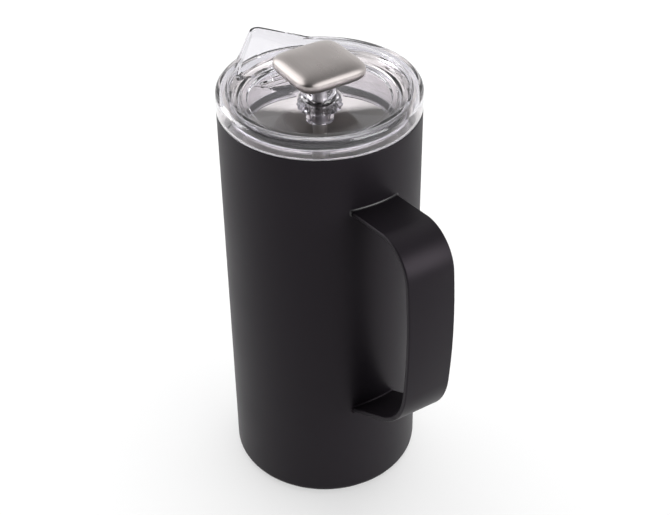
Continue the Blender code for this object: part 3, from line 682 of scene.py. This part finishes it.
# %% Lid profile
SEAT, RING_TOP = RIM + 0.3, RIM + 11.2
FLOOR = RIM + 4.0
FLOOR_UNDER = FLOOR - 2.4
BOSS_TOP, SKIRT_FOOT = RIM + 14.0, RIM - 19.0
GROOVE_TOP, GROOVE_FOOT = RIM - 12.0, RIM - 17.8
BORE, POCKET, BOSS, WELL = 4.05, 6.4, 7.7, 34.6
SKIRT, SKIRT_INSIDE, GROOVE = 42.4, 40.0, 41.6
HOLLOW_INSIDE, HOLLOW_OUTSIDE, HOLLOW_TOP = 44.9, 47.6, RING_TOP - 2.4
POCKET_TOP = FLOOR_UNDER + 2.3
lid_corners = [
    (BORE, BOSS_TOP, 0.3), (BOSS, BOSS_TOP, 0.5), (BOSS, FLOOR, 3.6), (WELL, FLOOR, 0.6),
    (35.3, FLOOR + 1.0, 0.4), (37.4, FLOOR + 1.1, 0.4), (38.0, FLOOR + 2.0, 0.4),
    (39.9, FLOOR + 2.2, 0.5), (41.2, FLOOR + 3.6, 1.0), (43.2, FLOOR + 4.9, 1.0),
    (43.9, RING_TOP, 0.8), (BODY, RING_TOP, 2.4), (BODY, SEAT, 0.5), (HOLLOW_OUTSIDE, SEAT, 0.4),
    (HOLLOW_OUTSIDE, HOLLOW_TOP, 1.0), (HOLLOW_INSIDE, HOLLOW_TOP, 0.6), (44.4, SEAT + 1.2, 0.4),
    (SKIRT, SEAT - 0.2, 0.4), (SKIRT, GROOVE_TOP, 0.2), (GROOVE, GROOVE_TOP, 0.2),
    (GROOVE, GROOVE_FOOT, 0.2), (SKIRT, GROOVE_FOOT, 0.2), (SKIRT, SKIRT_FOOT, 0.6),
    (SKIRT_INSIDE, SKIRT_FOOT, 0.6), (SKIRT_INSIDE, FLOOR_UNDER, 1.2),
    (POCKET, FLOOR_UNDER, 0.2), (POCKET, POCKET_TOP, 0.2), (BORE, POCKET_TOP, 0.2)]
clear_lid = piece("clear_lid", turned(rounded(lid_corners, 5), AROUND_BODY), "lid", clear,
                  ["lid_cover"], 28)

# %% [markdown]
# ### Joining and cutting
#
# A solid over a plan, such as a wedge or a slot, is enough for every join and cut. The exact
# Boolean solver is slower than the fast one, but it copes with faces that nearly touch.

# %% Solids over a plan
def stacked(plans):
    """A solid through plans of equally many points, each with its height as a function of x."""
    n = len(plans[0][0])
    verts = [(x, y, height(x)) for plan, height in plans for x, y in plan]
    caps = [list(range(n)), list(range(len(verts) - n, len(verts)))]
    return verts, caps + quads(len(plans), n)


def slab(plan, low, high):
    """A solid over one plan, between two heights or two functions of x."""
    levels = [level if callable(level) else (lambda x, z=level: z) for level in (low, high)]
    return stacked([(plan, level) for level in levels])


# %% Join and cut
def shape_with(target, shape, operation):
    """Join or cut a target with a solid, and keep the result as the target's mesh."""
    tool = add_object("tool", new_mesh("tool", shape))
    step = target.modifiers.new("step", "BOOLEAN")
    step.operation = operation
    step.solver = "EXACT"
    step.object = tool
    bpy.context.view_layer.update()
    result = bpy.data.meshes.new_from_object(target.evaluated_get(
        bpy.context.evaluated_depsgraph_get()))
    target.modifiers.clear()
    target.data = result
    bpy.data.objects.remove(tool)


# %% [markdown]
# ### Beak and chute
#
# The beak is a blunt triangle in plan with a rounded tip and a small bevel round its top edge. The
# chute is the same plan moved in by the wall, open at the top, with a floor that climbs to the
# tip.

# %% Beak plan
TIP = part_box("lid_cover")[0].x / MM
TIP_ROUND, HALF_ANGLE, TIP_STEPS = 5.0, math.radians(42.5), 14


def beak_plan(inset, back):
    """Plan of the beak, moved in by a wall, as (x, y) points."""
    radius = TIP_ROUND - inset
    sweep = math.pi / 2 - HALF_ANGLE
    points = []
    for i in range(TIP_STEPS + 1):
        a = math.pi - sweep + 2 * sweep * i / TIP_STEPS
        points.append((TIP + TIP_ROUND + radius * math.cos(a), radius * math.sin(a)))
    x, y = points[-1]
    wide = y - (back - x) * math.tan(HALF_ANGLE)
    return points + [(back, wide), (back, -wide)]


def ramp(back, at_back, at_tip):
    return lambda x: at_back + (at_tip - at_back) * (x - back) / (TIP - back)


# %% Beak and chute
BEAK_BACK, BEAK_BEVEL = -39.75, 0.6
beak_under = ramp(BEAK_BACK, RIM + 3.0, RIM + 9.4)
beak_top = ramp(BEAK_BACK, RING_TOP - 0.05, RING_TOP + 2.4)
whole_plan = beak_plan(0, BEAK_BACK)
shape_with(clear_lid, stacked([
    (whole_plan, beak_under), (whole_plan, lambda x: beak_top(x) - BEAK_BEVEL),
    (beak_plan(BEAK_BEVEL, BEAK_BACK), beak_top)]), "UNION")

CHUTE_BACK, BEAK_WALL = -33.5, 1.8
ABOVE_LID = RING_TOP + 20
chute_floor = ramp(CHUTE_BACK, FLOOR + 0.4, RIM + 11.2)
shape_with(clear_lid, slab(beak_plan(BEAK_WALL, CHUTE_BACK), chute_floor, ABOVE_LID), "DIFFERENCE")
print("lid faces with the beak:", len(clear_lid.data.polygons))

# %% [markdown]
# ### Pour slots
#
# Four slots let the coffee up through the floor of the well. They lie in a shallow recess shaped
# like a lens: its outer edge follows the well's wall, and its inner edge is a flatter arc.

# %% Recess
OUTER, BULGE, REACH, DEPTH, ARC = 34.3, 28.8, 16.5, 1.2, 12
centre = OUTER - REACH + BULGE
crossing = math.acos((OUTER ** 2 + centre ** 2 - BULGE ** 2) / (2 * centre) / OUTER)
lean = math.asin(OUTER * math.sin(crossing) / BULGE)
lens = []
for i in range(2 * ARC + 1):
    a = crossing * (1 - i / ARC)
    lens.append((-OUTER * math.cos(a), OUTER * math.sin(a)))
for i in range(1, 2 * ARC):
    a = lean * (i / ARC - 1)
    lens.append((BULGE * math.cos(a) - centre, BULGE * math.sin(a)))
shape_with(clear_lid, slab(lens, FLOOR - DEPTH, ABOVE_LID), "DIFFERENCE")
print("recess points:", len(lens))

# %% Slots
EDGE, PITCH, HALF_SLOT, END_ROUND = 33.3, 3.5, 1.1, 1.09
for number in range(4):
    middle = EDGE - PITCH * (number + 0.3)
    reach = min(middle * math.tan(math.radians(36)), math.sqrt(EDGE ** 2 - middle ** 2))
    slot = rounded([(-middle + x, y, END_ROUND) for x, y in (
        (-HALF_SLOT, -reach), (HALF_SLOT, -reach), (HALF_SLOT, reach), (-HALF_SLOT, reach))], 6)
    shape_with(clear_lid, slab(slot, FLOOR_UNDER - 1, FLOOR + 10), "DIFFERENCE")
shade(clear_lid.data, 28)
print("lid faces:", len(clear_lid.data.polygons))

# %% [markdown]
# ### Gasket, O-ring and retainer
#
# The gasket is a silicone band with two soft lips. The O-ring sits in a pocket under the boss,
# held by a clear sleeve whose flange has small teeth for a grip.

# %% Gasket
GASKET, GASKET_FOOT, GASKET_TOP = measure("lid_gasket")
BAND, BAND_INSIDE, LIP_ROUND = 43.3, 41.9, 0.35
gasket_outline = rounded([
    (BAND_INSIDE, GASKET_TOP, 0.2), (BAND, GASKET_TOP, 0.3),
    (GASKET, GASKET_TOP - 0.9, LIP_ROUND), (BAND, GASKET_TOP - 1.8, 0.3),
    (BAND, GASKET_FOOT + 2.6, 0.3), (GASKET, GASKET_FOOT + 1.9, LIP_ROUND),
    (BAND, GASKET_FOOT + 0.9, 0.3), (BAND, GASKET_FOOT, 0.2), (BAND_INSIDE, GASKET_FOOT, 0.2)], 4)
piece("gasket_band", turned(gasket_outline, AROUND_BODY), "gasket", silicone, ["lid_gasket"])

# %% O-ring
def circle(x, y, radius, steps):
    turns = [math.tau * i / steps for i in range(steps)]
    return [(x + radius * math.cos(a), y + radius * math.sin(a)) for a in turns]


SEAL, SEAL_FOOT, SEAL_TOP = measure("rod_seal")
seal_middle, seal_round = (SEAL_FOOT + SEAL_TOP) / 2, (SEAL_TOP - SEAL_FOOT) / 2
seal_outline = circle(SEAL - seal_round, seal_middle, seal_round, 20)
piece("o_ring", turned(seal_outline, AROUND_ROD), "seal", rubber, ["rod_seal"])

# %% Retainer
_, SLEEVE_FOOT, FLANGE_TOP = measure("seal_retainer")
FLANGE, SLEEVE, TOOTH_COUNT, TOOTH = 11.3, 7.1, 16, 1.1
TOOTH_START = SLEEVE + 0.5
retainer_outline = rounded([
    (BORE, FLANGE_TOP, 0.2), (8.6, FLANGE_TOP, 0.3), (FLANGE, FLANGE_TOP - 2.0, 0.2),
    (FLANGE, FLANGE_TOP - 2.6, 0.2), (9.2, FLANGE_TOP - 4.3, 0), (SLEEVE, FLANGE_TOP - 6.0, 0.3),
    (SLEEVE, SLEEVE_FOOT, 0.4), (BORE, SLEEVE_FOOT, 0.3)], 3)
verts, faces = turned(retainer_outline, 8 * TOOTH_COUNT)
verts = [Vector(v) for v in verts]
for v in verts:
    radius = v.xy.length
    share = max(radius - TOOTH_START, 0) / (FLANGE - TOOTH_START)
    wave = abs(math.sin(TOOTH_COUNT / 2 * math.atan2(v.y, v.x)))
    v.xy *= (radius - TOOTH * share * (1 - wave)) / radius
piece("sleeve_retainer", (verts, faces), "lid", clear, ["seal_retainer"])

# %% [markdown]
# ## Knob and rod
#
# The knob is a pressed shell: a square with fully rounded corners in plan, nearly flat on top,
# rolling over a wide edge to its side. Copies of one superellipse are stacked, and a smooth curve
# through a few heights gives the side. Its underside is closed by a disc with a short neck.

# %% Rounded square
def smooth_curve(points, per_span=4):
    """Catmull-Rom curve through the points."""
    out = []
    for i in range(len(points) - 1):
        p = [Vector(points[max(0, min(len(points) - 1, i + k))]) for k in (-1, 0, 1, 2)]
        for step in range(per_span):
            t = step / per_span
            out.append(0.5 * (2 * p[1] + (p[2] - p[0]) * t +
                              (2 * p[0] - 5 * p[1] + 4 * p[2] - p[3]) * t * t +
                              (3 * p[1] - p[0] - 3 * p[2] + p[3]) * t ** 3))
    return [tuple(v) for v in out] + [points[-1]]


def squared(shape, power, share=lambda radius: 1):
    """Push round rings out to a square with rounded corners, by a share for each radius."""
    verts, faces = shape
    out = []
    for x, y, z in verts:
        radius = math.hypot(x, y)
        if radius > 1e-6:
            c, s = abs(x / radius), abs(y / radius)
            stretch = 1 + ((c ** power + s ** power) ** (-1 / power) - 1) * share(radius)
            x, y = x * stretch, y * stretch
        out.append((x, y, z))
    return out, faces


# %% Knob
KNOB, KNOB_FOOT, KNOB_TOP = measure("knob_shell")
THICK, LIP_CLEAR = 1.0, 0.3
# shares of the knob's half width, and of its height from the top
PROFILE = [(0.0, 0.0), (0.25, 0.007), (0.48, 0.028), (0.65, 0.065), (0.78, 0.122), (0.88, 0.20),
           (0.95, 0.30), (0.99, 0.41), (1.0, 0.52), (1.0, 0.64), (0.985, 0.77), (0.955, 0.88),
           (0.91, 0.96), (0.85, 1.0)]
tall = KNOB_TOP - KNOB_FOOT
crown = [(KNOB * s, KNOB_TOP - tall * d) for s, d in smooth_curve(PROFILE)]
crown[0] = (0, KNOB_TOP)
hollow = [((KNOB - THICK) * s, KNOB_TOP - THICK - (tall - THICK - LIP_CLEAR) * d)
          for s, d in reversed(PROFILE)]
hollow[-1] = (0, KNOB_TOP - THICK)
knob_outline = crown + [(hollow[0][0] + 0.15, KNOB_FOOT)] + hollow
piece("knob_cap", squared(turned(knob_outline, AROUND_KNOB), 5.0), "plunger", knob_steel,
      ["knob_shell"], 40)

# %% Underside and neck
_, NECK_FOOT, COVER_TOP = measure("knob_base")
COVER, NECK, ROUND_AS_FAR_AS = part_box("knob_base")[1].x / MM, 6.2, 8
cover_foot = COVER_TOP - 1.0
under = rounded([(BORE, COVER_TOP, 0.1), (COVER, COVER_TOP, 0.2), (COVER, cover_foot, 0.3)], 3)
neck = rounded([(20, cover_foot, 0), (NECK, cover_foot, 0.8), (NECK, NECK_FOOT, 0.4),
                (BORE, NECK_FOOT, 0.2), (BORE, COVER_TOP, 0)], 4)
cover = turned(under[:-1] + [(COVER, cover_foot)] + neck[1:-1], AROUND_KNOB)


def square_share(radius):
    return min(max((radius - ROUND_AS_FAR_AS) / (COVER - ROUND_AS_FAR_AS), 0), 1)


piece("knob_underside", squared(cover, 4.6, square_share), "plunger", knob_steel, ["knob_base"])

# %% [markdown]
# The rod is a plain polished bar with small chamfers. It passes through the boss, the O-ring and
# the sleeve, and the filter stack hangs on its foot.

# %% Rod
ROD, ROD_FOOT, ROD_TOP = measure("plunger_rod")
rod_outline = rounded([(0, ROD_FOOT, 0), (ROD, ROD_FOOT, 0.4), (ROD, ROD_TOP, 0.8),
                       (0, ROD_TOP, 0)], 4)
piece("rod_shaft", turned(rod_outline, AROUND_ROD), "plunger", bright_steel, ["plunger_rod"])

# %% [markdown]
# ## The filter stack
#
# From the bottom: a nut, a spoked plate, the woven screen with its folded edge, a coil spring that
# presses the edge to the wall, a domed plate with holes, and a collar on the rod.

# %% Collar and nut
COLLAR, COLLAR_FOOT, COLLAR_TOP = measure("rod_collar")
GROOVED = COLLAR - 0.6
collar_outline = rounded([
    (BORE, COLLAR_FOOT, 0.2), (COLLAR, COLLAR_FOOT, 0.4), (COLLAR, COLLAR_FOOT + 2.6, 0.2),
    (GROOVED, COLLAR_FOOT + 3.0, 0.2), (GROOVED, COLLAR_FOOT + 3.6, 0.2),
    (COLLAR, COLLAR_FOOT + 4.0, 0.2), (COLLAR, COLLAR_TOP - 1.5, 0.4),
    (COLLAR - 1.5, COLLAR_TOP, 0.4), (BORE, COLLAR_TOP, 0.2)], 3)
piece("clamp_collar", turned(collar_outline, AROUND_ROD), "plunger", bright_steel, ["rod_collar"])

NUT, NUT_FOOT, NUT_TOP = measure("filter_nut")
CLOSED = NUT_FOOT + 0.7
nut_outline = rounded([(0, NUT_FOOT, 0), (NUT, NUT_FOOT, 1.2), (NUT, NUT_TOP, 0.3),
                       (BORE, NUT_TOP, 0.1), (BORE, CLOSED, 0.1), (0, CLOSED, 0)], 4)
piece("cross_nut", turned(nut_outline, AROUND_ROD), "plunger", bright_steel, ["filter_nut"])

# %% Domed plate
DOME, DOME_FOOT, DOME_TOP = measure("spiral_plate")
SHEET, FLAT, SHOULDER = 0.8, 8.5, DOME - 8
HOLE_COUNT, HOLE, HOLE_RING = 12, 2.5, 24
dome_outline = rounded([
    (BORE, DOME_TOP - SHEET, 0.1), (FLAT, DOME_TOP - SHEET, 2.0), (SHOULDER, DOME_FOOT, 6.0),
    (DOME, DOME_FOOT, 0.2), (DOME, DOME_FOOT + SHEET, 0.2), (SHOULDER, DOME_FOOT + SHEET, 6.0),
    (FLAT, DOME_TOP, 2.0), (BORE, DOME_TOP, 0.1)], 5)
dome = piece("domed_plate", turned(dome_outline, AROUND_KNOB), "plunger", plate_steel,
             ["spiral_plate"])
for i in range(HOLE_COUNT):
    a = math.tau * (i + 0.5) / HOLE_COUNT
    hole = circle(HOLE_RING * math.cos(a), HOLE_RING * math.sin(a), HOLE, 28)
    shape_with(dome, slab(hole, DOME_FOOT - 3, DOME_TOP + 3), "DIFFERENCE")

# %% Spoked plate
CROSS, CROSS_FOOT, CROSS_TOP = measure("cross_plate")
cross_outline = rounded([(BORE, CROSS_FOOT, 0.1), (CROSS, CROSS_FOOT, 0.3),
                         (CROSS, CROSS_TOP, 0.3), (BORE, CROSS_TOP, 0.1)], 3)
cross = piece("spoked_plate", turned(cross_outline, AROUND_KNOB), "plunger", plate_steel,
              ["cross_plate"])
WINDOW, HUB, HALF_SPOKE, WINDOW_ROUND = CROSS - 4.0, NUT + 2.0, 3.5, 1.5
first, last = math.asin(HALF_SPOKE / WINDOW), math.asin(HALF_SPOKE / HUB)
ring = [(WINDOW, first + (math.pi / 2 - 2 * first) * i / 16) for i in range(17)]
ring += [(HUB, math.pi / 2 - last - (math.pi / 2 - 2 * last) * i / 5) for i in range(6)]
for quarter in range(4):
    turn = Matrix.Rotation(math.tau * quarter / 4, 2)
    plan = []
    for k, (r, a) in enumerate(ring):
        x, y = turn @ Vector((r * math.cos(a), r * math.sin(a)))
        plan.append((x, y, WINDOW_ROUND if k in (0, 16, 17, 22) else 0))
    shape_with(cross, slab(rounded(plan, 4), CROSS_FOOT - 1, CROSS_TOP + 1), "DIFFERENCE")
print("filter plates cut")

# %% [markdown]
# The spring is one round wire wound in a helix whose axis is itself a ring. Its centre line is
# easy to write down, and a tube is swept along it. The screen is a thin disc with a folded hem.

# %% Spring
SPRING, SPRING_FOOT, SPRING_TOP = measure("spiral_spring")
WIRE, COILS, PER_COIL, SIDES = 0.35, 150, 12, 6
coil = (SPRING_TOP - SPRING_FOOT) / 2 - WIRE
ring_r, ring_z = SPRING - coil - WIRE, (SPRING_TOP + SPRING_FOOT) / 2
count = COILS * PER_COIL
line = []
for i in range(count):
    along, around = math.tau * i / count, math.tau * i / PER_COIL
    r = ring_r + coil * math.cos(around)
    line.append(Vector((r * math.cos(along), r * math.sin(along),
                        ring_z + coil * math.sin(around))))
verts = []
for i, point in enumerate(line):
    ahead = (line[(i + 1) % count] - line[i - 1]).normalized()
    along = math.tau * i / count
    spine = Vector((ring_r * math.cos(along), ring_r * math.sin(along), ring_z))
    out = (point - spine).normalized()
    side = ahead.cross(out).normalized()
    for k in range(SIDES):
        a = math.tau * k / SIDES
        verts.append(point + (out * math.cos(a) + side * math.sin(a)) * WIRE)
piece("edge_spring", (verts, quads(count, SIDES, True)), "plunger", wire_steel,
      ["spiral_spring"], 80)

# %% Screen
SCREEN, SCREEN_FOOT, SCREEN_TOP = measure("mesh_screen")
HEM, WOVEN = SCREEN - 2.2, SCREEN_FOOT + 0.6
screen_outline = rounded([
    (BORE, SCREEN_FOOT, 0), (SCREEN, SCREEN_FOOT, 0.5), (SCREEN, SCREEN_TOP, 0.6),
    (HEM, SCREEN_TOP, 0.3), (HEM, WOVEN, 0.3), (BORE, WOVEN, 0)], 4)
piece("woven_screen", turned(screen_outline), "plunger", mesh_steel, ["mesh_screen"])

# %% [markdown]
# ## Studio
#
# A wide pale floor under a plain bright sky, and a few soft lamps. Steel and clear plastic show
# what is round them, and an even sky would leave them without a dark line. So the sky fades to a
# dark patch on one side, as towards a room, and grows dimmer overhead. Rays from the camera see
# it plain. In a studio a flag or a snoot keeps a lamp off a piece. Light linking does that here:
# each lamp names the pieces that it lights, and the knob has a pair of its own.

# %% Floor
floor_material, tree, shader = new_material("pale_floor", Specular_IOR_Level=0.2, Roughness=0.6)
node = place(tree, grain, Grain_Scale=300.0, Cloud_Scale=2.0)
between(tree, node.outputs["Cloud"], (0.86, 0.86, 0.86), (0.88, 0.88, 0.88),
        shader.inputs["Base Color"])
bpy.ops.mesh.primitive_grid_add(x_subdivisions=8, y_subdivisions=8, size=60, location=(0, 0, 0))
floor = bpy.context.object
floor.name = "studio_floor"
floor.data.materials.append(floor_material)

# %% Sky
PLAIN_SKY, DARK_SKY, OVERHEAD_SKY = 0.95, 0.08, 0.28
TOWARD_ROOM = (0.43, -0.74, 0.52)
world = bpy.data.worlds.new("studio")
bpy.context.scene.world = world
world.use_nodes = True
sky = world.node_tree
backdrop = sky.nodes["Background"]
backdrop.inputs["Color"].default_value = (1, 1, 1, 1)
direction = sky.nodes.new("ShaderNodeTexCoord").outputs["Generated"]
facing = sky.nodes.new("ShaderNodeVectorMath")
facing.operation = "DOT_PRODUCT"
facing.inputs[1].default_value = TOWARD_ROOM
sky.links.new(direction, facing.inputs[0])
dimming = remap(sky, facing.outputs["Value"], 0.45, 0.95, PLAIN_SKY, DARK_SKY, "SMOOTHSTEP")
overhead = remap(sky, split_node(sky, direction)["Z"], 0.25, 0.95, 1.0, OVERHEAD_SKY)
strength = math_node(sky, "MULTIPLY", dimming, overhead)
camera_ray = sky.nodes.new("ShaderNodeLightPath").outputs["Is Camera Ray"]
seen = math_node(sky, "MULTIPLY", camera_ray, PLAIN_SKY)
sky.links.new(math_node(sky, "MAXIMUM", strength, seen), backdrop.inputs["Strength"])


# %% Lamp helpers
AIM = Vector((0, 0, 0.12))


def lamp(name, azimuth, elevation, distance, size, power):
    """A square soft lamp that looks at the middle of the press."""
    data = bpy.data.lights.new(name, "AREA")
    data.energy, data.size = power, size
    obj = add_object(name, data)
    a, e = math.radians(azimuth), math.radians(elevation)
    way = Vector((math.sin(a) * math.cos(e), -math.cos(a) * math.cos(e), math.sin(e)))
    obj.location = way * distance + AIM
    obj.rotation_euler = way.to_track_quat("Z", "Y").to_euler()
    return obj


def shine_only_on(light, receivers):
    """Let a lamp light only some pieces, as a flagged lamp or a snoot does."""
    group = bpy.data.collections.new("lit_by_" + light.name)
    for obj in receivers:
        group.objects.link(obj)
    light.light_linking.receiver_collection = group


# %% Lamps
press = [obj for obj in bpy.context.collection.objects if obj.type == "MESH" and obj != floor]
knob, liner = bpy.data.objects["knob_cap"], bpy.data.objects["vessel_liner"]
around_knob = [obj for obj in press if obj != knob]
shine_only_on(lamp("left_softbox", -45, 14, 1.3, 0.9, 14.0), around_knob)
shine_only_on(lamp("right_softbox", 114, 26, 1.4, 0.9, 17.0), around_knob)
shine_only_on(lamp("knob_left_softbox", -54, 34, 1.3, 1.2, 7.5), [knob])
shine_only_on(lamp("knob_right_softbox", 118, 38, 1.3, 1.3, 7.0), [knob])
shine_only_on(lamp("back_softbox", 239, 72, 1.5, 1.6, 8.0), [floor] + around_knob)
wash_data = bpy.data.lights.new("floor_wash", "SUN")
wash_data.energy, wash_data.use_shadow = 1.9, False
shine_only_on(add_object("floor_wash", wash_data), [floor])
shine_only_on(lamp("vessel_lamp", 59, 23, 1.4, 0.08, 110.0), [liner])
print("lamps:", len(bpy.data.lights))

# %% [markdown]
# ## Camera
#
# A long lens from above the handle's left, looking down at the lid. The turn, tilt and roll are
# kept as plain angles, so that they are easy to read and change.

# %% Camera
AZIMUTH, TILT, YAW, ROLL = 58.93, 37.294, 0.653, -0.670
CAMERA_OUT, CAMERA_UP, LENS, SENSOR = 0.57032, 0.55857, 73.57, 36.0
azimuth = Matrix.Rotation(math.radians(AZIMUTH), 3, "Z")
yaw, tilt, roll = (math.radians(v) for v in (YAW, TILT, ROLL))
forward = Vector((math.sin(yaw) * math.cos(tilt), math.cos(yaw) * math.cos(tilt), -math.sin(tilt)))
right = Vector((math.cos(yaw), -math.sin(yaw), 0))
upward = right.cross(forward)
right, upward = (right * math.cos(roll) + upward * math.sin(roll),
                 upward * math.cos(roll) - right * math.sin(roll))
axes = [azimuth @ right, azimuth @ upward, azimuth @ -forward]
camera_data = bpy.data.cameras.new("camera")
camera_data.lens, camera_data.sensor_width = LENS, SENSOR
camera = add_object("camera", camera_data)
place_at = azimuth @ Vector((0, -CAMERA_OUT, CAMERA_UP))
camera.matrix_world = Matrix.Translation(place_at) @ Matrix(axes).transposed().to_4x4()
bpy.context.scene.camera = camera
bpy.context.scene.view_settings.view_transform = "Standard"
print("camera at", [round(v, 3) for v in place_at])
